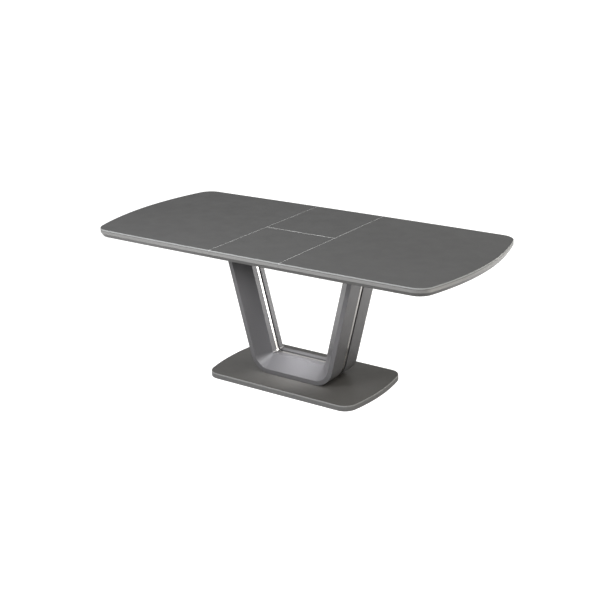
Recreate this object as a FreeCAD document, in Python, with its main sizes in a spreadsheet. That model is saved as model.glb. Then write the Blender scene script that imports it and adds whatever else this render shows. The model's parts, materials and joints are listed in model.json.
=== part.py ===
import FreeCAD, Part
import math
import os
import Sketcher

# Extendable dining table with a folding centre leaf, standing on a centre pedestal.
# Millimetres. The origin is the centre of the footprint on the floor: +X is the long way, +Z is up.
# The model is at rest with the top extended and both leaf halves lying in the opening.

doc = FreeCAD.newDocument("ExtendableTable")
sheet = doc.addObject("Spreadsheet::Sheet", "Sizes")

SIZES = [
    # table top
    ("table_height", 760), ("top_length", 2000), ("top_width", 900), ("leaf_length", 400),
    ("end_bulge", 78), ("side_bulge", 8), ("corner_radius", 84),
    ("glass_thickness", 6), ("glass_inset", 0.4), ("glass_arris", 0.7),
    ("board_thickness", 34), ("bevel_height", 18), ("bevel_inset", 12), ("seam_gap", 1.5),
    # base plate
    ("base_length", 904), ("base_width", 502), ("base_bulge", 34), ("base_side_bulge", 1),
    ("base_corner", 68), ("base_top", 30), ("base_glass", 6), ("pad_height", 1.5), ("pad_radius", 20),
    ("foot_x", 370), ("foot_y", 185), ("bolt_x", 120), ("bolt_y", 55), ("bolt_start", 5),
    ("bolt_shank", 4), ("bolt_length", 62), ("bolt_head", 7), ("bolt_head_height", 8),
    ("washer_radius", 9.5), ("washer_thickness", 2), ("sink_radius", 10),
    # pedestal
    ("foot_half_width", 223.7), ("leg_slope", 0.2525), ("leg_top", 650), ("corner_bend", 110),
    ("face_width", 23.5), ("bevel_depth", 70), ("ridge_width", 85), ("ridge_land", 29),
    ("ridge_bend", 8), ("frame_gap", 30), ("core_recess", 6), ("strip_thickness", 2),
    ("strip_width", 13), ("edge_round", 1.5), ("connector_radius", 5), ("connector_reach", 45),
    ("connector_inset", 35), ("connector_low", 250), ("connector_high", 520),
    # carrying frame
    ("plate_thickness", 8), ("plate_length", 120), ("plate_width", 196), ("plate_centre", 336),
    ("leg_screw_x", 345), ("leg_screw_y", 50), ("leg_screw_shank", 3), ("leg_screw_length", 55),
    ("leg_screw_head", 6), ("leg_screw_head_height", 4),
    ("beam_height", 26), ("beam_width", 40), ("beam_wall", 2.5), ("beam_offset", 80),
    ("cross_width", 60), ("cross_reach", 322), ("cross_flat", 285), ("cross_tip", 10), ("cross_wall", 3),
    # runners and sliders
    ("runner_offset", 300), ("runner_length", 1300), ("runner_width", 40), ("runner_height", 30),
    ("runner_wall", 4), ("runner_lip", 8), ("slot_width", 16), ("runner_screw_x", 340),
    ("runner_screw_spread", 12), ("runner_screw_shank", 2.5), ("runner_screw_length", 12),
    ("runner_screw_gap", 0.2),
    ("slider_start", 210), ("slider_end", 850), ("foot_width", 31.4), ("foot_height", 17),
    ("neck_width", 12), ("flange_width", 44), ("flange_thickness", 4), ("run_clearance", 0.5),
    ("travel", 20), ("groove_start", 240), ("groove_length", 400), ("groove_width", 8), ("groove_depth", 8),
    ("pin_radius", 3), ("pin_height", 10), ("pin_clearance", 0.3),
    # screws up into the end tops
    ("top_screw_start", 260), ("top_screw_step", 140), ("top_screw_row", 15), ("top_screw_shank", 2.2),
    ("top_screw_length", 20), ("screw_head", 4.5), ("screw_head_height", 2),
    ("stiffener_screw_near", 80), ("stiffener_screw_far", 240), ("stiffener_screw_length", 24),
    # leaf supports and hinges
    ("support_offset", 120), ("support_width", 20), ("support_reach", 265), ("bumper_radius", 9),
    ("bumper_near", 60), ("bumper_far", 250), ("leaf_clearance", 0.3), ("hinge_length", 70),
    ("hinge_depth", 14), ("hinge_height", 22), ("hinge_drop", 4), ("hinge_offset", 110),
    ("stiffener_offset", 860), ("stiffener_width", 30),
    ("stiffener_length", 540), ("stiffener_height", 8),
]

for row, (alias, number) in enumerate(SIZES, start=1):
    sheet.set(f"A{row}", alias)
    sheet.set(f"B{row}", str(number))
    sheet.setAlias(f"B{row}", alias)
doc.recompute()

Vector = FreeCAD.Vector
UNDERSIDE = "(Sizes.table_height - Sizes.glass_thickness - Sizes.board_thickness)"
GLASS_BOTTOM = "(Sizes.table_height - Sizes.glass_thickness)"
PLATE_TOP = "(Sizes.leg_top + Sizes.plate_thickness)"
RUNNER_BOTTOM = f"({PLATE_TOP} + Sizes.beam_height)"
RUNNER_FLOOR = f"({RUNNER_BOTTOM} + Sizes.runner_wall)"
FLANGE_BOTTOM = f"({UNDERSIDE} - Sizes.flange_thickness)"
TOP_SCREWS_ALONG_SLIDER = 5
NEAR_ZERO = 0.01  # two coordinates closer than this are the same

# Where a sketch starts before its own dimensions take over.
ROUGH_RADIUS = 50
ROUGH_DISTANCE = 10.0

parts = []


def size(alias):
    return float(sheet.get(alias))


def finish(thing, label):
    """Name an object as one of the sub-parts."""
    thing.Label = label
    parts.append(thing)
    return thing


def bind(thing, **formulas):
    for name, formula in formulas.items():
        thing.setExpression(name, formula)


def place(thing, x="0", y="0", z="0"):
    for axis, formula in zip("xyz", (x, y, z)):
        thing.setExpression(f"Placement.Base.{axis}", formula)
    return thing


def box(name, x, y, z, length, width, height):
    """A block centred on x and y, standing on z."""
    block = doc.addObject("Part::Box", name)
    bind(block, Length=length, Width=width, Height=height)
    return place(block, f"{x} - ({length}) / 2", f"{y} - ({width}) / 2", z)


def rod(name, x, y, z, radius, length, along_y=False):
    """A cylinder that starts at x, y, z and runs up, or along +Y."""
    cylinder = doc.addObject("Part::Cylinder", name)
    bind(cylinder, Radius=radius, Height=length)
    if along_y:
        cylinder.Placement = FreeCAD.Placement(Vector(), FreeCAD.Rotation(Vector(1, 0, 0), -90))
    return place(cylinder, x, y, z)


def screw(name, x, y, z, shank, length, head, head_height, head_up=False):
    """A screw from z upwards, with its head at the low end or, turned over, at the high end."""
    head_z = f"{z} + {length} - {head_height}" if head_up else z
    fused = doc.addObject("Part::Fuse", name)
    fused.Base = rod(f"{name}_shank", x, y, z, shank, length)
    fused.Tool = rod(f"{name}_head", x, y, head_z, head, head_height)
    return fused


def group(name, members):
    bundle = doc.addObject("Part::Compound", name)
    bundle.Links = members
    return bundle


def cut(name, base, *tools):
    """The base with each tool taken away in turn."""
    result = base
    for number, tool in enumerate(tools, start=1):
        taken = doc.addObject("Part::Cut", f"{name}_cut_{number}")
        taken.Base = result
        taken.Tool = tool
        result = taken
    return result


def twin(source, label, normal):
    """The mirror image of a sub-part across a plane through the origin."""
    mirrored = doc.addObject("Part::Mirroring", label)
    mirrored.Source = source
    mirrored.Normal = normal
    return finish(mirrored, label)


def bar(name, role, corners, length, x="0", y="0", z="0"):
    """A body whose polygon section, given as pairs of formulas, is padded to both sides."""
    body = doc.addObject("PartDesign::Body", name)
    sketch = body.newObject("Sketcher::SketchObject", f"{name}_section")
    plane = next(item for item in body.Origin.OriginFeatures if item.Role == role)
    sketch.AttachmentSupport = [(plane, "")]
    sketch.MapMode = "FlatFace"
    count = len(corners)
    turn = 2 * math.pi / count
    spots = []
    for i in range(count):
        spots.append(Vector(ROUGH_RADIUS * math.cos(i * turn), ROUGH_RADIUS * math.sin(i * turn), 0))
    for i in range(count):
        sketch.addGeometry(Part.LineSegment(spots[i], spots[(i + 1) % count]), False)
    for i in range(count):
        sketch.addConstraint(Sketcher.Constraint("Coincident", i, 2, (i + 1) % count, 1))
    for i, (across, up) in enumerate(corners):
        for kind, formula in (("DistanceX", across), ("DistanceY", up)):
            index = sketch.addConstraint(Sketcher.Constraint(kind, i, 1, ROUGH_DISTANCE))
            sketch.setExpression(f"Constraints[{index}]", formula)
    pad = body.newObject("PartDesign::Pad", f"{name}_pad")
    pad.Profile = sketch
    pad.Midplane = True
    bind(pad, Length=length)
    return place(body, x, y, z)


def shaped(label, shape):
    """A sub-part whose curved shape is made from the sheet's sizes."""
    feature = doc.addObject("Part::Feature", label)
    feature.Shape = shape
    feature.Placement = FreeCAD.Placement()
    return feature


# ---- outlines with bowed sides ----------------------------------------------------------------

def bowed_corner(length, width, end_bulge, side_bulge, corner, inset):
    """The arcs of the first quadrant: the end's and side's tangent points and the corner's middle."""
    end_radius = ((width / 2) ** 2 + end_bulge ** 2) / (2 * end_bulge)
    side_radius = ((length / 2) ** 2 + side_bulge ** 2) / (2 * side_bulge)
    end_centre = Vector(length / 2 - end_radius, 0, 0)
    side_centre = Vector(0, width / 2 - side_radius, 0)
    between = side_centre - end_centre
    apart = between.Length
    along = ((end_radius - corner) ** 2 - (side_radius - corner) ** 2 + apart ** 2) / (2 * apart)
    across = math.sqrt((end_radius - corner) ** 2 - along ** 2)
    unit = between / apart
    centre = end_centre + unit * along + Vector(-unit.y, unit.x, 0) * across
    to_end = (centre - end_centre).normalize()
    to_side = (centre - side_centre).normalize()
    return {
        "end": end_centre + to_end * (end_radius - inset),
        "side": side_centre + to_side * (side_radius - inset),
        "middle": centre + (to_end + to_side).normalize() * (corner - inset),
        "tip": Vector(length / 2 - inset, 0, 0),
        "side_centre": side_centre,
        "side_radius": side_radius - inset,
    }


def wire_through(arcs, shift, z):
    """A wire of arcs and lines, each given by its points, moved by shift along X and up to z."""
    edges = []
    for points in arcs:
        moved = [Vector(point.x + shift, point.y, z) for point in points]
        curve = Part.Arc(*moved) if len(moved) == 3 else Part.LineSegment(*moved)
        edges.append(curve.toShape())
    return Part.Wire(edges)


def flip(point, sx, sy):
    return Vector(point.x * sx, point.y * sy, 0)


def base_outline(inset, z):
    """The base plate's closed outline: four shallow arcs joined by corner arcs."""
    key = bowed_corner(size("base_length"), size("base_width"), size("base_bulge"),
                       size("base_side_bulge"), size("base_corner"), inset)
    end, side, middle, tip = key["end"], key["side"], key["middle"], key["tip"]
    side_middle = Vector(0, key["side_centre"].y + key["side_radius"], 0)
    arcs = []
    for sx, sy in ((1, 1), (-1, -1)):
        arcs += [
            (flip(end, sx, -sy), flip(tip, sx, sy), flip(end, sx, sy)),
            (flip(end, sx, sy), flip(middle, sx, sy), flip(side, sx, sy)),
            (flip(side, sx, sy), flip(side_middle, sx, sy), flip(side, -sx, sy)),
            (flip(side, -sx, sy), flip(middle, -sx, sy), flip(end, -sx, sy)),
        ]
    return wire_through(arcs, 0, z)


def right_outline(inset, z):
    """The right top's outline, from the seam round its bowed end and back."""
    closed_length = size("top_length") - size("leaf_length")
    key = bowed_corner(closed_length, size("top_width"), size("end_bulge"), size("side_bulge"),
                       size("corner_radius"), inset)
    end, side, middle, tip = key["end"], key["side"], key["middle"], key["tip"]

    def on_side(x):
        return Vector(x, key["side_centre"].y + math.sqrt(key["side_radius"] ** 2 - x ** 2), 0)

    seam = on_side(size("seam_gap") / 2)
    side_middle = on_side((seam.x + side.x) / 2)
    arcs = [
        (flip(seam, 1, -1), flip(side_middle, 1, -1), flip(side, 1, -1)),
        (flip(side, 1, -1), flip(middle, 1, -1), flip(end, 1, -1)),
        (flip(end, 1, -1), tip, end),
        (end, middle, side),
        (side, side_middle, seam),
        (seam, flip(seam, 1, -1)),
    ]
    return wire_through(arcs, size("leaf_length") / 2, z)


def stacked(outline_at, levels):
    """A solid with straight sides between the outlines at each (inset, height) level."""
    wires = [outline_at(inset, z) for inset, z in levels]
    return Part.makeLoft(wires, True, True)


# ---- base -------------------------------------------------------------------------------------

def make_base():
    bolts = []
    washers = []
    sinks = []
    seat = "Sizes.bolt_start + Sizes.bolt_head_height"
    for x_side in (-1, 1):
        for y_side in (-1, 1):
            x, y = f"{x_side} * Sizes.bolt_x", f"{y_side} * Sizes.bolt_y"
            number = len(bolts)
            bolts.append(screw(f"base_bolt_{number}", x, y, "Sizes.bolt_start", "Sizes.bolt_shank",
                               "Sizes.bolt_length", "Sizes.bolt_head", "Sizes.bolt_head_height"))
            disc = rod(f"washer_disc_{number}", x, y, seat, "Sizes.washer_radius",
                       "Sizes.washer_thickness")
            washers.append(cut(f"washer_{number}", disc, bolts[-1]))
            sinks.append(rod(f"bolt_sink_{number}", x, y, "0", "Sizes.sink_radius",
                             f"{seat} + Sizes.washer_thickness"))
    bolt_group = finish(group("base_bolts", bolts), "base_bolts")
    finish(group("base_washers", washers), "base_washers")
    sink_group = group("bolt_sinks", sinks)

    glass_bottom = size("base_top") - size("base_glass")
    top, low = size("base_top"), size("pad_height")
    inset, arris = size("glass_inset"), size("glass_arris")
    levels = [(2 * arris, low), (0, low + 2 * arris), (0, glass_bottom)]
    board = shaped("base_board_blank", stacked(base_outline, levels))
    finish(cut("base_board", board, sink_group, bolt_group), "base_board")
    levels = [(inset, glass_bottom), (inset, top - arris), (inset + arris, top)]
    glass = shaped("base_glass_blank", stacked(base_outline, levels))
    finish(cut("base_glass", glass, bolt_group), "base_glass")

    feet = []
    for x_side in (-1, 0, 1):
        for y_side in (-1, 1):
            feet.append(rod(f"foot_{len(feet)}", f"{x_side} * Sizes.foot_x", f"{y_side} * Sizes.foot_y",
                            "0", "Sizes.pad_radius", "Sizes.pad_height"))
    finish(group("base_feet", feet), "base_feet")
    return bolt_group


# ---- pedestal ---------------------------------------------------------------------------------

def leg_edge(z):
    """How far out the outside of a leg is at height z."""
    return size("foot_half_width") + size("leg_slope") * (z - size("base_top"))


def outside(offset):
    """A line of the U that follows its outer side: how far in it lies and the radius of its bends."""
    return offset, size("corner_bend") - offset


def inside(offset):
    """A line of the U that follows its inner ridge, whose bends are nearly sharp."""
    return offset, size("ridge_bend") + size("ridge_width") - offset


def u_side(line, y):
    """One side of the U, from the left leg's top down and up to the right leg's top."""
    offset, radius = line
    slope = size("leg_slope")
    stretch = math.sqrt(1 + slope ** 2)
    bottom = size("base_top") + offset
    top = size("leg_top")
    corner_x = leg_edge(bottom) - offset * stretch
    top_x = leg_edge(top) - offset * stretch
    turn = math.atan2(1, slope)
    tangent = radius * math.tan(turn / 2)
    leg_start = Vector(corner_x + tangent * slope / stretch, y, bottom + tangent / stretch)
    floor_end = Vector(corner_x - tangent, y, bottom)
    middle_angle = -math.pi / 2 + turn / 2
    middle = Vector(floor_end.x + radius * math.cos(middle_angle), y,
                    bottom + radius + radius * math.sin(middle_angle))
    top_end = Vector(top_x, y, top)

    def left(point):
        return Vector(-point.x, point.y, point.z)

    edges = [
        Part.LineSegment(left(top_end), left(leg_start)),
        Part.Arc(left(leg_start), left(middle), left(floor_end)),
        Part.LineSegment(left(floor_end), floor_end),
        Part.Arc(floor_end, middle, leg_start),
        Part.LineSegment(leg_start, top_end),
    ]
    return [edge.toShape() for edge in edges]


def u_wire(outer_line, inner_line, y):
    outer = u_side(outer_line, y)
    inner = u_side(inner_line, y)
    right_end = Part.LineSegment(outer[-1].Vertexes[-1].Point, inner[-1].Vertexes[-1].Point).toShape()
    left_end = Part.LineSegment(inner[0].Vertexes[0].Point, outer[0].Vertexes[0].Point).toShape()
    return Part.Wire(outer + [right_end] + inner[::-1] + [left_end])


def u_prism(outer_line, inner_line, width):
    """A U of even section, centred on y = 0."""
    face = Part.Face(u_wire(outer_line, inner_line, -width / 2))
    return face.extrude(Vector(0, width, 0))


def frame_shape():
    """The front U: a narrow front face, a bevel that widens it to a ridge, and a flat land behind."""
    back = -size("frame_gap") / 2
    ridge = back - size("ridge_land")
    front = ridge - size("bevel_depth")
    ridge_line = inside(size("ridge_width"))
    sections = [
        u_wire(outside(0), outside(size("face_width")), front),
        u_wire(outside(0), ridge_line, ridge),
        u_wire(outside(0), ridge_line, back),
    ]
    solid = Part.makeLoft(sections, True, True)
    edges = []
    for edge in solid.Edges:
        bounds = edge.BoundBox
        at_front = bounds.YLength < NEAR_ZERO and abs(bounds.YMin - front) < NEAR_ZERO
        at_leg_top = bounds.ZLength < NEAR_ZERO and abs(bounds.ZMin - size("leg_top")) < NEAR_ZERO
        if at_front and not at_leg_top:
            edges.append(edge)
    return solid.makeFillet(size("edge_round"), edges)


def make_pedestal(base_bolts):
    rods = []
    inset = size("connector_inset")
    stretch = math.sqrt(1 + size("leg_slope") ** 2)
    spots = [(0, size("base_top") + inset)]
    for z in (size("connector_low"), size("connector_high")):
        for side in (-1, 1):
            spots.append((side * (leg_edge(z) - inset * stretch), z))
    for number, (x, z) in enumerate(spots):
        rods.append(rod(f"connector_{number}", f"{x:.3f}", "-Sizes.connector_reach", f"{z:.3f}",
                        "Sizes.connector_radius", "2 * Sizes.connector_reach", along_y=True))
    connectors = finish(group("frame_connectors", rods), "frame_connectors")

    screws = []
    for x_side in (-1, 1):
        for y_side in (-1, 1):
            screws.append(screw(f"leg_screw_{len(screws)}", f"{x_side} * Sizes.leg_screw_x",
                                f"{y_side} * Sizes.leg_screw_y",
                                f"{PLATE_TOP} - Sizes.leg_screw_length", "Sizes.leg_screw_shank",
                                "Sizes.leg_screw_length", "Sizes.leg_screw_head",
                                "Sizes.leg_screw_head_height", head_up=True))
    plate_screws = finish(group("leg_plate_screws", screws), "leg_plate_screws")

    blank = shaped("pedestal_frame_blank", frame_shape())
    front = finish(cut("front_pedestal_frame", blank, base_bolts, connectors, plate_screws),
                   "front_pedestal_frame")
    twin(front, "rear_pedestal_frame", Vector(0, 1, 0))

    recess = size("core_recess")
    inner = size("ridge_width") - recess
    skin = size("strip_thickness")
    core = shaped("pedestal_core_blank", u_prism(outside(recess), inside(inner), size("frame_gap")))
    finish(cut("pedestal_core", core, connectors), "pedestal_core")
    width = size("strip_width")
    outer_strip = u_prism(outside(recess - skin), outside(recess), width)
    finish(shaped("outer_steel_strip", outer_strip), "outer_steel_strip")
    inner_strip = u_prism(inside(inner), inside(inner + skin), width)
    finish(shaped("inner_steel_strip", inner_strip), "inner_steel_strip")

    plate = box("leg_plate_blank", "Sizes.plate_centre", "0", "Sizes.leg_top", "Sizes.plate_length",
                "Sizes.plate_width", "Sizes.plate_thickness")
    right_plate = finish(cut("right_leg_top_plate", plate, plate_screws), "right_leg_top_plate")
    twin(right_plate, "left_leg_top_plate", Vector(1, 0, 0))


# ---- carrying frame and runners ---------------------------------------------------------------

def make_carrying_frame():
    runner_screws = []
    start = f"{RUNNER_FLOOR} - Sizes.runner_screw_gap - Sizes.runner_screw_length"
    for x_side in (-1, 1):
        for spread in (-1, 1):
            for y_side in (-1, 1):
                x = f"{x_side} * (Sizes.runner_screw_x + {spread} * Sizes.runner_screw_spread)"
                runner_screws.append(screw(f"runner_screw_{len(runner_screws)}", x,
                                           f"{y_side} * Sizes.runner_offset", start,
                                           "Sizes.runner_screw_shank", "Sizes.runner_screw_length",
                                           "Sizes.screw_head", "Sizes.screw_head_height", head_up=True))
    screw_group = finish(group("runner_screws", runner_screws), "runner_screws")

    reach, flat = "Sizes.cross_reach", "Sizes.cross_flat"
    height, tip = "Sizes.beam_height", "Sizes.cross_tip"
    section = [(f"-({flat})", "0"), (flat, "0"), (reach, f"{height} - {tip}"), (reach, height),
               (f"-({reach})", height), (f"-({reach})", f"{height} - {tip}")]
    solid = bar("cross_beam_solid", "YZ_Plane", section, "Sizes.cross_width", "Sizes.plate_centre",
                "0", PLATE_TOP)
    hollow = box("cross_beam_hollow", "Sizes.plate_centre", "0", f"{PLATE_TOP} - Sizes.cross_wall",
                 "Sizes.cross_width - 2 * Sizes.cross_wall", "2 * (Sizes.cross_reach + Sizes.cross_width)",
                 "Sizes.beam_height")
    right = finish(cut("right_cross_beam", solid, hollow, screw_group), "right_cross_beam")
    twin(right, "left_cross_beam", Vector(1, 0, 0))

    between = "2 * Sizes.plate_centre - Sizes.cross_width"
    tube = box("beam_outside", "0", "-Sizes.beam_offset", PLATE_TOP, between, "Sizes.beam_width",
               "Sizes.beam_height")
    bore = box("beam_inside", "0", "-Sizes.beam_offset", f"{PLATE_TOP} + Sizes.beam_wall",
               "2 * Sizes.plate_centre", "Sizes.beam_width - 2 * Sizes.beam_wall",
               "Sizes.beam_height - 2 * Sizes.beam_wall")
    front = finish(cut("front_beam", tube, bore), "front_beam")
    twin(front, "rear_beam", Vector(0, 1, 0))
    return screw_group


def make_runners(screw_group):
    pins = []
    stop = "(Sizes.groove_start + Sizes.travel + Sizes.pin_radius + Sizes.pin_clearance)"
    for x_side in (-1, 1):
        for y_side in (-1, 1):
            name = f"stop_pin_{len(pins)}"
            pins.append(rod(name, f"{x_side} * {stop}", f"{y_side} * Sizes.runner_offset",
                            RUNNER_BOTTOM, "Sizes.pin_radius", "Sizes.pin_height"))
    pin_group = finish(group("runner_stop_pins", pins), "runner_stop_pins")

    half, wall = "Sizes.runner_width / 2", "Sizes.runner_wall"
    slot, top = "Sizes.slot_width / 2", "Sizes.runner_height"
    ledge = "Sizes.runner_height - Sizes.runner_lip"
    section = [
        (f"-{half}", "0"), (half, "0"), (half, top), (slot, top), (slot, ledge),
        (f"{half} - {wall}", ledge), (f"{half} - {wall}", wall), (f"-{half} + {wall}", wall),
        (f"-{half} + {wall}", ledge), (f"-{slot}", ledge), (f"-{slot}", top), (f"-{half}", top),
    ]
    profile = bar("runner_profile", "YZ_Plane", section, "Sizes.runner_length", "0",
                  "-Sizes.runner_offset", RUNNER_BOTTOM)
    front = finish(cut("front_runner", profile, screw_group, pin_group), "front_runner")
    twin(front, "rear_runner", Vector(0, 1, 0))

    right = finish(box("right_leaf_support", "Sizes.support_offset", "0", RUNNER_BOTTOM,
                       "Sizes.support_width", "2 * Sizes.support_reach",
                       f"{FLANGE_BOTTOM} - {RUNNER_BOTTOM}"), "right_leaf_support")
    twin(right, "left_leaf_support", Vector(1, 0, 0))
    bumpers = []
    for x_side in (-1, 1):
        for y in ("-Sizes.bumper_far", "-Sizes.bumper_near", "Sizes.bumper_near", "Sizes.bumper_far"):
            bumpers.append(rod(f"bumper_{len(bumpers)}", f"{x_side} * Sizes.support_offset", y,
                               FLANGE_BOTTOM, "Sizes.bumper_radius",
                               "Sizes.flange_thickness - Sizes.leaf_clearance"))
    finish(group("leaf_bumpers", bumpers), "leaf_bumpers")


# ---- end tops ---------------------------------------------------------------------------------

def make_slider():
    half_foot, half_neck = "Sizes.foot_width / 2", "Sizes.neck_width / 2"
    half_flange, half_groove = "Sizes.flange_width / 2", "Sizes.groove_width / 2"
    foot, depth = "Sizes.foot_height", "Sizes.groove_depth"
    low_flange = f"{FLANGE_BOTTOM} - {RUNNER_FLOOR} - Sizes.run_clearance"
    high_flange = f"{UNDERSIDE} - {RUNNER_FLOOR} - Sizes.run_clearance"
    section = [
        (f"-{half_foot}", "0"), (half_foot, "0"), (half_foot, foot), (half_neck, foot),
        (half_neck, low_flange), (half_flange, low_flange), (half_flange, high_flange),
        (f"-{half_flange}", high_flange), (f"-{half_flange}", low_flange),
        (f"-{half_neck}", low_flange), (f"-{half_neck}", foot), (f"-{half_foot}", foot),
    ]
    profile = bar("slider_profile", "YZ_Plane", section, "Sizes.slider_end - Sizes.slider_start",
                  "(Sizes.slider_start + Sizes.slider_end) / 2", "-Sizes.runner_offset",
                  f"{RUNNER_FLOOR} + Sizes.run_clearance")
    groove = box("slider_groove", "Sizes.groove_start + Sizes.groove_length / 2", "-Sizes.runner_offset",
                 RUNNER_FLOOR, "Sizes.groove_length", "Sizes.groove_width", "Sizes.groove_depth")
    return profile, groove


def make_end_tops():
    screws = []
    head = ("Sizes.screw_head", "Sizes.screw_head_height")
    for place_along in range(TOP_SCREWS_ALONG_SLIDER):
        x = f"Sizes.top_screw_start + {place_along} * Sizes.top_screw_step"
        for row in (-1, 1):
            for side in (-1, 1):
                y = f"{side} * Sizes.runner_offset + {row} * Sizes.top_screw_row"
                screws.append(screw(f"top_screw_{len(screws)}", x, y, FLANGE_BOTTOM,
                                    "Sizes.top_screw_shank", "Sizes.top_screw_length", *head))
    low_face = f"{UNDERSIDE} - Sizes.stiffener_height"
    for distance in ("Sizes.stiffener_screw_near", "Sizes.stiffener_screw_far"):
        for side in (-1, 1):
            screws.append(screw(f"top_screw_{len(screws)}", "Sizes.stiffener_offset",
                                f"{side} * {distance}", low_face, "Sizes.top_screw_shank",
                                "Sizes.stiffener_screw_length", *head))
    screw_group = finish(group("right_top_screws", screws), "right_top_screws")
    twin(screw_group, "left_top_screws", Vector(1, 0, 0))

    top = size("table_height")
    high = top - size("glass_thickness")
    low = high - size("board_thickness")
    knee = low + size("bevel_height")
    inset, arris = size("glass_inset"), size("glass_arris")
    levels = [(size("bevel_inset"), low), (0, knee), (0, high)]
    blank = shaped("right_board_blank", stacked(right_outline, levels))
    board = finish(cut("right_top_board", blank, screw_group), "right_top_board")
    levels = [(inset, high), (inset, top - arris), (inset + arris, top)]
    glass = shaped("right_top_glass", stacked(right_outline, levels))
    finish(glass, "right_top_glass")

    profile, groove = make_slider()
    front_slider = finish(cut("right_front_slider", profile, groove, screw_group), "right_front_slider")
    rear_slider = twin(front_slider, "right_rear_slider", Vector(0, 1, 0))
    stiffener = box("stiffener_blank", "Sizes.stiffener_offset", "0", low_face,
                    "Sizes.stiffener_width", "Sizes.stiffener_length", "Sizes.stiffener_height")
    stiffener = finish(cut("right_top_stiffener", stiffener, screw_group), "right_top_stiffener")
    for source in (board, glass, front_slider, rear_slider, stiffener):
        twin(source, source.Label.replace("right_", "left_"), Vector(1, 0, 0))


# ---- folding leaf -----------------------------------------------------------------------------

def make_leaf():
    edge, seam = "Sizes.top_width / 2", "Sizes.seam_gap / 2"
    thick, bevel = "Sizes.board_thickness", "Sizes.bevel_height"
    inset = "Sizes.bevel_inset"
    section = [(f"-{edge} + {inset}", "0"), (f"-{seam}", "0"), (f"-{seam}", thick),
               (f"-{edge}", thick), (f"-{edge}", bevel)]
    length = "Sizes.leaf_length - Sizes.seam_gap"
    board = bar("leaf_board_blank", "YZ_Plane", section, length, "0", "0", UNDERSIDE)
    hinges = []
    for side in (-1, 1):
        hinges.append(box(f"leaf_hinge_{len(hinges)}", f"{side} * Sizes.hinge_offset",
                          f"-{seam} - Sizes.hinge_depth / 2",
                          f"{GLASS_BOTTOM} - Sizes.hinge_height - Sizes.hinge_drop",
                          "Sizes.hinge_length", "Sizes.hinge_depth", "Sizes.hinge_height"))
    hinge_group = finish(group("leaf_front_hinges", hinges), "leaf_front_hinges")
    board = finish(cut("leaf_front_board", board, hinge_group), "leaf_front_board")

    trim, high, chamfer = "Sizes.glass_inset", "Sizes.glass_thickness", "Sizes.glass_arris"
    section = [(f"-{edge} + {trim}", "0"), (f"-{seam}", "0"), (f"-{seam}", f"{high} - {chamfer}"),
               (f"-{seam} - {chamfer}", high), (f"-{edge} + {trim} + {chamfer}", high),
               (f"-{edge} + {trim}", f"{high} - {chamfer}")]
    glass = finish(bar("leaf_front_glass", "YZ_Plane", section, length, "0", "0", GLASS_BOTTOM),
                   "leaf_front_glass")
    for source in (board, glass, hinge_group):
        twin(source, source.Label.replace("front", "back"), Vector(0, 1, 0))


# ---- build, test and write --------------------------------------------------------------------

def test_parts():
    faults = []
    for thing in doc.Objects:
        if "Invalid" in thing.State or "Error" in thing.State:
            faults.append(f"{thing.Name}: {thing.State}")
    for thing in parts:
        if thing.Shape.isNull() or not thing.Shape.isValid() or not thing.Shape.Solids:
            faults.append(f"{thing.Label}: bad shape")
    if faults:
        raise RuntimeError("; ".join(faults))


def write_parts():
    os.makedirs("parts", exist_ok=True)
    for thing in parts:
        thing.Shape.exportStep(f"parts/{thing.Label}.step")
        volume = thing.Shape.Volume / 1000
        print(f"{thing.Label}: {len(thing.Shape.Solids)} solid(s), {volume:.1f} cm3")
    print(len(parts), "sub-parts written")


bolts_through_base = make_base()
make_pedestal(bolts_through_base)
screws_in_runners = make_carrying_frame()
make_runners(screws_in_runners)
make_end_tops()
make_leaf()
doc.recompute()
test_parts()
write_parts()
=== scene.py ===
import json
import math

import bmesh
import bpy
from mathutils import Matrix, Vector


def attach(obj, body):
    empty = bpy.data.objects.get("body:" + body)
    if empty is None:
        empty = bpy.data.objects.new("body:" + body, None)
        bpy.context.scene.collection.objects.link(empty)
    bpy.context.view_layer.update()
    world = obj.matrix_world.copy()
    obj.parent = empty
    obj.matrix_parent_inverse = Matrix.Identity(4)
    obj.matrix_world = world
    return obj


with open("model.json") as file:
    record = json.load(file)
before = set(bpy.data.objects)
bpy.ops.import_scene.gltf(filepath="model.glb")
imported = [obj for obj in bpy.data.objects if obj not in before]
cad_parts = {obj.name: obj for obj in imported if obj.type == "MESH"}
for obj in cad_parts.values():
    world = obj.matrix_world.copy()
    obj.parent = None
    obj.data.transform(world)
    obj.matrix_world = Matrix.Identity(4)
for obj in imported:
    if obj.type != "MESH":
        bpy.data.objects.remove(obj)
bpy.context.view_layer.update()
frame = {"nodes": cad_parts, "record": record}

# The gaps between the panels, in metres.
SEAM_HALF_GAP = 0.00075
HALF_LEAF = 0.200
HALF_WIDTH = 0.4495
SEAL_TOP = 0.75995
SEAL_BOTTOM = 0.7530
SEAL_CHAMFER = 0.0001
SEAL_CLEARANCE = 0.0001
MIDDLE_SEAL_START = 0.000075

# The height from which the board's edge is painted dark, as the adhesive under the glass shows there.
BOND_LINE = 0.7515

GLASS_ROUGHNESS, GLASS_SPECULAR = 0.42, 0.12
LACQUER_ROUGHNESS, LACQUER_METALLIC = 0.42, 0.45

# Brightness of the sky at the left and right horizon and overhead, and of the floor in reflections.
SKY_LEFT = 1.05
SKY_RIGHT = 0.06
SKY_OVERHEAD = 0.26
FLOOR_IN_REFLECTIONS = 0.45


# ---- camera ------------------------------------------------------------------------------------

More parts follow.
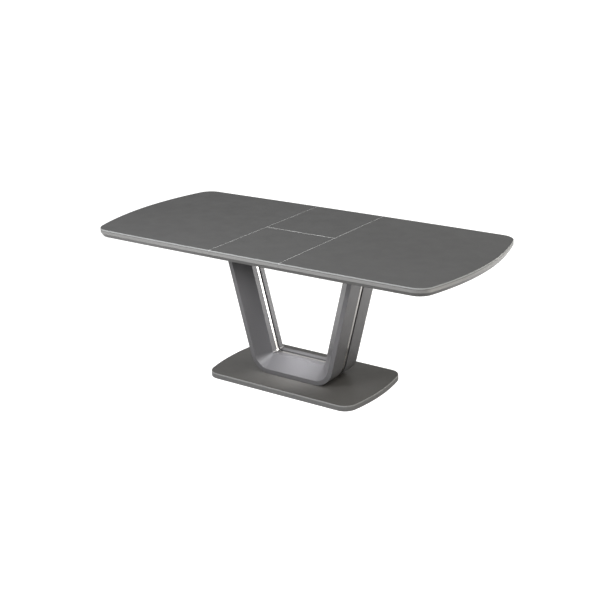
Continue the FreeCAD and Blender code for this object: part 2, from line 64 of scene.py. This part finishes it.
def make_camera():
    """A long lens from the front right, a little above the top, with a slight roll."""
    azimuth, elevation, roll = math.radians(34.823), math.radians(19.664), math.radians(-1.47)
    distance = 5.5356
    target = Vector((0.0709, 0.0, 0.413))
    back = Vector((math.sin(azimuth) * math.cos(elevation), -math.cos(azimuth) * math.cos(elevation),
                   math.sin(elevation)))
    right = Vector((math.cos(azimuth), math.sin(azimuth), 0))
    up = back.cross(right)
    turned_right = right * math.cos(roll) + up * math.sin(roll)
    turned_up = up * math.cos(roll) - right * math.sin(roll)
    data = bpy.data.cameras.new("camera")
    data.lens = 67.72
    data.shift_x = -0.0231
    data.shift_y = 0.00425
    camera = bpy.data.objects.new("camera", data)
    axes = Matrix((turned_right, turned_up, back)).transposed().to_4x4()
    camera.matrix_world = Matrix.Translation(target + back * distance) @ axes
    bpy.context.collection.objects.link(camera)
    bpy.context.scene.camera = camera


# ---- materials ---------------------------------------------------------------------------------

class Shader:
    """A node material under construction: adds nodes and links them."""

    def __init__(self, name, roughness, metallic=0.0, **sockets):
        self.material = bpy.data.materials.new(name)
        self.material.use_nodes = True
        self.tree = self.material.node_tree
        self.surface = self.tree.nodes["Principled BSDF"]
        self.surface.inputs["Roughness"].default_value = roughness
        self.surface.inputs["Metallic"].default_value = metallic
        for socket, value in sockets.items():
            self.surface.inputs[socket.replace("_", " ")].default_value = value
        coordinates = self.node("ShaderNodeTexCoord")
        self.place = coordinates.outputs["Object"]
        self.normal = coordinates.outputs["Normal"]

    def node(self, kind, **settings):
        made = self.tree.nodes.new(kind)
        for name, value in settings.items():
            setattr(made, name, value)
        return made

    def link(self, start, end):
        self.tree.links.new(start, end)

    def axis(self, vector, name):
        """One coordinate of a vector."""
        split = self.node("ShaderNodeSeparateXYZ")
        self.link(vector, split.inputs[0])
        return split.outputs[name]

    def maths(self, operation, *values):
        """Arithmetic on one or two values, each a socket or a number."""
        step = self.node("ShaderNodeMath", operation=operation)
        for socket, value in zip(step.inputs, values):
            if isinstance(value, float):
                socket.default_value = value
            else:
                self.link(value, socket)
        return step.outputs[0]

    def span(self, value, start, end, low, high, **settings):
        """Turn one range of a value into another."""
        span = self.node("ShaderNodeMapRange", **settings)
        for name, number in (("From Min", start), ("From Max", end), ("To Min", low), ("To Max", high)):
            span.inputs[name].default_value = number
        self.link(value, span.inputs["Value"])
        return span.outputs["Result"]

    def noise(self, scale, detail=3.0, stretch=(1, 1, 1)):
        """Noise over the object's own coordinates, in features per metre."""
        mapping = self.node("ShaderNodeMapping")
        mapping.inputs["Scale"].default_value = stretch
        self.link(self.place, mapping.inputs["Vector"])
        noise = self.node("ShaderNodeTexNoise")
        noise.inputs["Scale"].default_value = scale
        noise.inputs["Detail"].default_value = detail
        self.link(mapping.outputs["Vector"], noise.inputs["Vector"])
        return noise.outputs["Fac"]

    def ramp(self, fac, stops):
        """Colours or grey values at places along a factor."""
        ramp = self.node("ShaderNodeValToRGB")
        elements = ramp.color_ramp.elements
        while len(elements) < len(stops):
            elements.new(0.5)
        for element, (place, value) in zip(elements, stops):
            element.position = place
            element.color = (value, value, value, 1) if isinstance(value, float) else (*value, 1)
        self.link(fac, ramp.inputs["Fac"])
        return ramp.outputs["Color"]

    def mix(self, fac, first, second, blend="MIX"):
        mix = self.node("ShaderNodeMix", data_type="RGBA", blend_type=blend)
        inputs = [s for s in mix.inputs if s.enabled]
        for socket, value in zip(inputs, (fac, first, second)):
            if isinstance(value, bpy.types.NodeSocket):
                self.link(value, socket)
            elif isinstance(value, float):
                socket.default_value = value
            else:
                socket.default_value = (*value, 1)
        return next(s for s in mix.outputs if s.enabled)

    def colour(self, source):
        self.link(source, self.surface.inputs["Base Color"])

    def rough(self, fac, low, high):
        """Roughness that wanders between two values."""
        self.link(self.ramp(fac, [(0.3, low), (0.7, high)]), self.surface.inputs["Roughness"])

    def bump(self, fac, height, strength):
        bump = self.node("ShaderNodeBump")
        bump.inputs["Strength"].default_value = strength
        bump.inputs["Distance"].default_value = height
        self.link(fac, bump.inputs["Height"])
        self.link(bump.outputs["Normal"], self.surface.inputs["Normal"])

    def sideways(self, start, end):
        """0 on faces that look up or down, 1 on faces that look sideways, in the object's own frame."""
        return self.span(self.maths("ABSOLUTE", self.axis(self.normal, "Z")), start, end, 1.0, 0.0)

    def above(self, height):
        """1 above a height in the object's own frame."""
        return self.maths("GREATER_THAN", self.axis(self.place, "Z"), height)

    def facing_down(self, start, end):
        """Rises from 0 to 1 as a face turns to look down in the object's own frame."""
        return self.span(self.axis(self.normal, "Z"), -start, -end, 0.0, 1.0)


def shade(colour, factor):
    """The same colour, lighter or darker."""
    return tuple(c * factor for c in colour)


def satin_glass(name, face, edge):
    """Back-painted glass: an even satin face with a faint cloud, and a paler polished edge."""
    shader = Shader(name, GLASS_ROUGHNESS, Specular_IOR_Level=GLASS_SPECULAR)
    cloud = shader.ramp(shader.noise(2.2), [(0.3, shade(face, 0.97)), (0.7, shade(face, 1.03))])
    grain = shader.ramp(shader.noise(700.0, 2.0), [(0.35, 0.95), (0.65, 1.0)])
    painted = shader.mix(1.0, cloud, grain, "MULTIPLY")
    shader.colour(shader.mix(shader.sideways(0.90, 0.99), painted, edge))
    shader.rough(shader.noise(14.0), GLASS_ROUGHNESS - 0.02, GLASS_ROUGHNESS + 0.03)
    return shader.material


def lacquer(name, colour, painted_shade_and_bond_colour=None):
    """Metallic lacquer: fine flakes under a clear coat, with a slow drift of tone. A second, darker
    colour is painted on the faces that look down as painted shade, and on the adhesive's dark bond line
    at the top of the edge."""
    shader = Shader(name, LACQUER_ROUGHNESS, LACQUER_METALLIC, Coat_Weight=0.45, Coat_Roughness=0.16)
    flakes = shader.ramp(shader.noise(1800.0, 1.0), [(0.40, shade(colour, 0.94)),
                                                     (0.60, shade(colour, 1.06))])
    drift = shader.ramp(shader.noise(5.0), [(0.3, 0.95), (0.7, 1.0)])
    painted = shader.mix(1.0, flakes, drift, "MULTIPLY")
    if painted_shade_and_bond_colour:
        # Painted shade: faces that look down take the darker colour, standing in for the shade under the
        # board's edge.
        painted = shader.mix(shader.facing_down(0.2, 0.5), painted, painted_shade_and_bond_colour)
        # The same darker colour marks the adhesive's dark bond line at the top of the edge.
        painted = shader.mix(shader.above(BOND_LINE), painted, painted_shade_and_bond_colour)
    shader.colour(painted)
    shader.rough(shader.noise(30.0), LACQUER_ROUGHNESS - 0.02, LACQUER_ROUGHNESS + 0.03)
    return shader.material


def metal(name, colour, roughness, stretch, spread=0.12, scratch=0.00002):
    """Drawn or polished metal: fine lines along its length that vary tone, gloss and height."""
    shader = Shader(name, roughness, 1.0)
    lines = shader.noise(900.0, 3.0, stretch)
    shader.colour(shader.ramp(lines, [(0.3, shade(colour, 1 - spread)), (0.7, colour)]))
    shader.rough(shader.noise(60.0, 4.0, stretch), roughness * 0.8, roughness * 1.25)
    shader.bump(lines, scratch, 0.3)
    return shader.material


def coated(name, colour, roughness, grain, height):
    """Powder coat, moulded plastic or rubber: an even colour with a fine pebbled grain."""
    shader = Shader(name, roughness)
    pebble = shader.noise(grain)
    shader.colour(shader.ramp(pebble, [(0.3, shade(colour, 0.85)), (0.7, shade(colour, 1.15))]))
    shader.rough(shader.noise(40.0), roughness - 0.05, roughness + 0.06)
    shader.bump(pebble, height, 0.5)
    return shader.material


def make_materials():
    """One finish for each slot, and two lighter copies of the pedestal's lacquer for the base and top
    boards: one finish in three tones, with painted light making the top lightest and the base a little
    lighter than the pedestal.
    """
    return {
        "top_glass": satin_glass("satin_top_glass", (0.064, 0.064, 0.063), (0.23, 0.234, 0.23)),
        "base_glass": satin_glass("taupe_base_glass", (0.065, 0.063, 0.059), (0.20, 0.20, 0.195)),
        # Three tones of one lacquer, set for how the light falls on each part: painted light on the top
        # and base boards, and painted shade on the top board's faces that look down.
        "lacquered_board": lacquer("metallic_lacquer", (0.118, 0.116, 0.120)),
        "base_board": lacquer("metallic_lacquer_base_painted_light", (0.135, 0.134, 0.131)),
        "top_board": lacquer("metallic_lacquer_top_painted_light_and_shade", (0.200, 0.198, 0.193), painted_shade_and_bond_colour=(0.095, 0.094, 0.091)),
        "polished_steel": metal("polished_steel", (0.80, 0.78, 0.75), 0.12, (1, 1, 1), 0.06, 0.000005),
        "dark_core": coated("dark_core_lacquer", (0.030, 0.030, 0.032), 0.45, 900.0, 0.00002),
        "foot_plastic": coated("foot_plastic", (0.030, 0.030, 0.030), 0.55, 1200.0, 0.00005),
        "bumper_rubber": coated("bumper_rubber", (0.025, 0.025, 0.024), 0.7, 1500.0, 0.00006),
        "runner_aluminium": metal("anodised_runner", (0.66, 0.67, 0.69), 0.34, (0.02, 1, 1)),
        "slider_aluminium": metal("anodised_slider", (0.58, 0.59, 0.61), 0.36, (0.02, 1, 1)),
        "fastener_steel": metal("zinc_plated_steel", (0.62, 0.61, 0.58), 0.30, (1, 1, 1)),
        "painted_steel": coated("black_powder_coat", (0.035, 0.035, 0.037), 0.42, 1100.0, 0.00006),
        "seam_seal": coated("seam_seal", (0.72, 0.72, 0.71), 0.45, 900.0, 0.00001),
    }


def dress_nodes(materials):
    """Give each CAD node the finish of its slot."""
    slots = {part["node"]: part["material_slot"] for part in frame["record"]["subparts"]}
    for name, thing in frame["nodes"].items():
        thing.data.materials.clear()
        finish = slots[name]
        # The top and base boards take the lighter copies of the lacquer, whose colour holds painted
        # light.
        if finish == "lacquered_board" and name.endswith("_board"):
            finish = "base_board" if name == "base_board" else "top_board"
        thing.data.materials.append(materials[finish])


# ---- seam seals --------------------------------------------------------------------------------

def slab_mesh(name, low, high, chamfer):
    """A strip between two corners with its top edges taken off along its length."""
    (x0, y0, z0), (x1, y1, z1) = low, high
    along_x = x1 - x0 > y1 - y0
    ends, (near, far) = ((x0, x1), (y0, y1)) if along_x else ((y0, y1), (x0, x1))
    profile = [(near, z0), (far, z0), (far, z1 - chamfer), (far - chamfer, z1), (near + chamfer, z1),
               (near, z1 - chamfer)]
    builder = bmesh.new()
    sections = []
    for end in ends:
        spots = [(end, across, z) if along_x else (across, end, z) for across, z in profile]
        sections.append([builder.verts.new(spot) for spot in spots])
    first, last = sections
    count = len(first)
    for i in range(count):
        builder.faces.new((first[i], first[(i + 1) % count], last[(i + 1) % count], last[i]))
    builder.faces.new(first[::-1])
    builder.faces.new(last)
    bmesh.ops.recalc_face_normals(builder, faces=builder.faces)
    mesh = bpy.data.meshes.new(name)
    builder.to_mesh(mesh)
    builder.free()
    return mesh


def add_seal(name, body, low, high, material):
    seal = bpy.data.objects.new(name, slab_mesh(name, low, high, SEAL_CHAMFER))
    seal.data.materials.append(material)
    bpy.context.collection.objects.link(seal)
    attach(seal, body)


def make_seals(material):
    """A pale seal in each gap between the panels, carried by the leaf halves."""
    reach = HALF_LEAF - SEAM_HALF_GAP
    far_side = HALF_LEAF + SEAM_HALF_GAP - SEAL_CLEARANCE
    for body, side in (("leaf_front", -1), ("leaf_back", 1)):
        near, far = sorted((side * SEAM_HALF_GAP, side * HALF_WIDTH))
        for word, end in (("left", -1), ("right", 1)):
            inner, outer = sorted((end * reach, end * far_side))
            add_seal(f"{body}_end_seal_{word}", body, (inner, near, SEAL_BOTTOM), (outer, far, SEAL_TOP),
                     material)
        inner, outer = sorted((side * MIDDLE_SEAL_START, side * SEAM_HALF_GAP))
        add_seal(f"{body}_middle_seal", body, (-reach, inner, SEAL_BOTTOM), (reach, outer, SEAL_TOP),
                 material)


# ---- studio ------------------------------------------------------------------------------------

def make_floor():
    """A white sweep: pale to the eye. Seen in reflections it glows with painted light behind and to the
    left of the table, and stays dark under it and toward the camera as a painted shadow."""
    floor_size, drop = 60.0, 0.0005
    mesh = bpy.data.meshes.new("floor")
    builder = bmesh.new()
    bmesh.ops.create_grid(builder, x_segments=1, y_segments=1, size=floor_size / 2)
    builder.to_mesh(mesh)
    builder.free()
    floor = bpy.data.objects.new("floor", mesh)
    floor.location.z = -drop
    bpy.context.collection.objects.link(floor)
    shader = Shader("studio_floor", 0.9, Specular_IOR_Level=0.1)
    shader.surface.inputs["Emission Color"].default_value = (1, 1, 1, 1)
    path = shader.node("ShaderNodeLightPath")

    def rise(axis, start, end):
        return shader.span(shader.axis(shader.place, axis), start, end, 0.0, FLOOR_IN_REFLECTIONS,
                           interpolation_type="SMOOTHSTEP")

    # Painted light and shadow for reflections: the floor glows only to glossy rays, pale behind and left
    # of the table, dark under it and toward the camera.
    painted_floor_light = shader.maths("MAXIMUM", rise("Y", 0.2, 0.9), rise("X", -0.6, -1.2))
    painted_floor_reflection = shader.maths("MULTIPLY", painted_floor_light, path.outputs["Is Glossy Ray"])
    glow = shader.maths("MAXIMUM", painted_floor_reflection, path.outputs["Is Camera Ray"])
    shader.link(glow, shader.surface.inputs["Emission Strength"])
    shader.colour(shader.ramp(shader.noise(0.8, 2.0), [(0.3, 0.35), (0.7, 0.38)]))
    mesh.materials.append(shader.material)


def area_light(name, place, aim, width, height, power, tint=(1, 1, 1), spread=180):
    """A soft rectangular light that the camera doesn't see."""
    data = bpy.data.lights.new(name, "AREA")
    data.shape = "RECTANGLE"
    data.size = width
    data.size_y = height
    data.energy = power
    data.color = tint
    data.spread = math.radians(spread)
    light = bpy.data.objects.new(name, data)
    light.location = place
    light.rotation_euler = (Vector(aim) - Vector(place)).to_track_quat("-Z", "Y").to_euler()
    light.visible_camera = False
    bpy.context.collection.objects.link(light)


def make_world():
    """A grey sky for the mirror surfaces and the soft light: one tone at the left horizon, one at
    the right and one overhead."""
    world = bpy.data.worlds.new("studio")
    world.use_nodes = True
    tree = world.node_tree
    place = tree.nodes.new("ShaderNodeTexCoord")
    split = tree.nodes.new("ShaderNodeSeparateXYZ")
    tree.links.new(place.outputs["Generated"], split.inputs[0])

    def ramp(axis, stops):
        made = tree.nodes.new("ShaderNodeValToRGB")
        for element, (position, value) in zip(made.color_ramp.elements, stops):
            element.position = position
            element.color = (value, value, value, 1)
        tree.links.new(split.outputs[axis], made.inputs["Fac"])
        return made.outputs["Color"]

    blend = tree.nodes.new("ShaderNodeMix")
    blend.data_type = "RGBA"
    factor, first, second = [socket for socket in blend.inputs if socket.enabled]
    tree.links.new(ramp("Z", [(0.02, 0.0), (0.55, 1.0)]), factor)
    tree.links.new(ramp("X", [(0.1, SKY_LEFT), (0.8, SKY_RIGHT)]), first)
    second.default_value = (SKY_OVERHEAD, SKY_OVERHEAD, SKY_OVERHEAD, 1)
    mixed = next(socket for socket in blend.outputs if socket.enabled)
    tree.links.new(mixed, tree.nodes["Background"].inputs["Color"])
    bpy.context.scene.world = world


def make_studio():
    """The floor, the sky, eight lights around the table and a small one in the pedestal's opening."""
    make_floor()
    make_world()
    bpy.context.scene.view_settings.view_transform = "Standard"
    warm, cool = (1.0, 0.97, 0.91), (0.97, 0.97, 1.0)
    area_light("low_left", (-4.4, -3.2, 2.0), (-0.4, -0.2, 0.4), 1.8, 1.2, 98)
    area_light("near_front", (-0.6, -1.9, 1.7), (0, -0.1, 0.1), 0.8, 0.8, 38, cool)
    area_light("front_right", (1.2, -3.0, 2.4), (0.2, 0, 0.4), 1.2, 1.0, 80)
    area_light("overhead_right", (1.8, -1.2, 3.8), (0.7, 0, 0.5), 2.4, 2.0, 55)
    area_light("low_right", (4.6, 0.3, 0.9), (0.3, 0, 0.35), 1.6, 1.0, 95, warm)
    area_light("behind_right", (2.6, 3.2, 0.5), (0, 0, 0.4), 1.5, 1.0, 17)
    area_light("behind_floor", (1.6, 2.4, 1.6), (0.5, 0.6, 0), 1.0, 1.0, 45, warm)
    area_light("behind_left", (-2.6, 3.0, 0.5), (0, 0, 0.4), 1.5, 0.8, 6)
    area_light("glow_on_foot", (0, -0.06, 0.63), (0, -0.07, 0), 0.25, 0.05, 0.62, cool, 40)


make_camera()
materials = make_materials()
dress_nodes(materials)
make_seals(materials["seam_seal"])
make_studio()
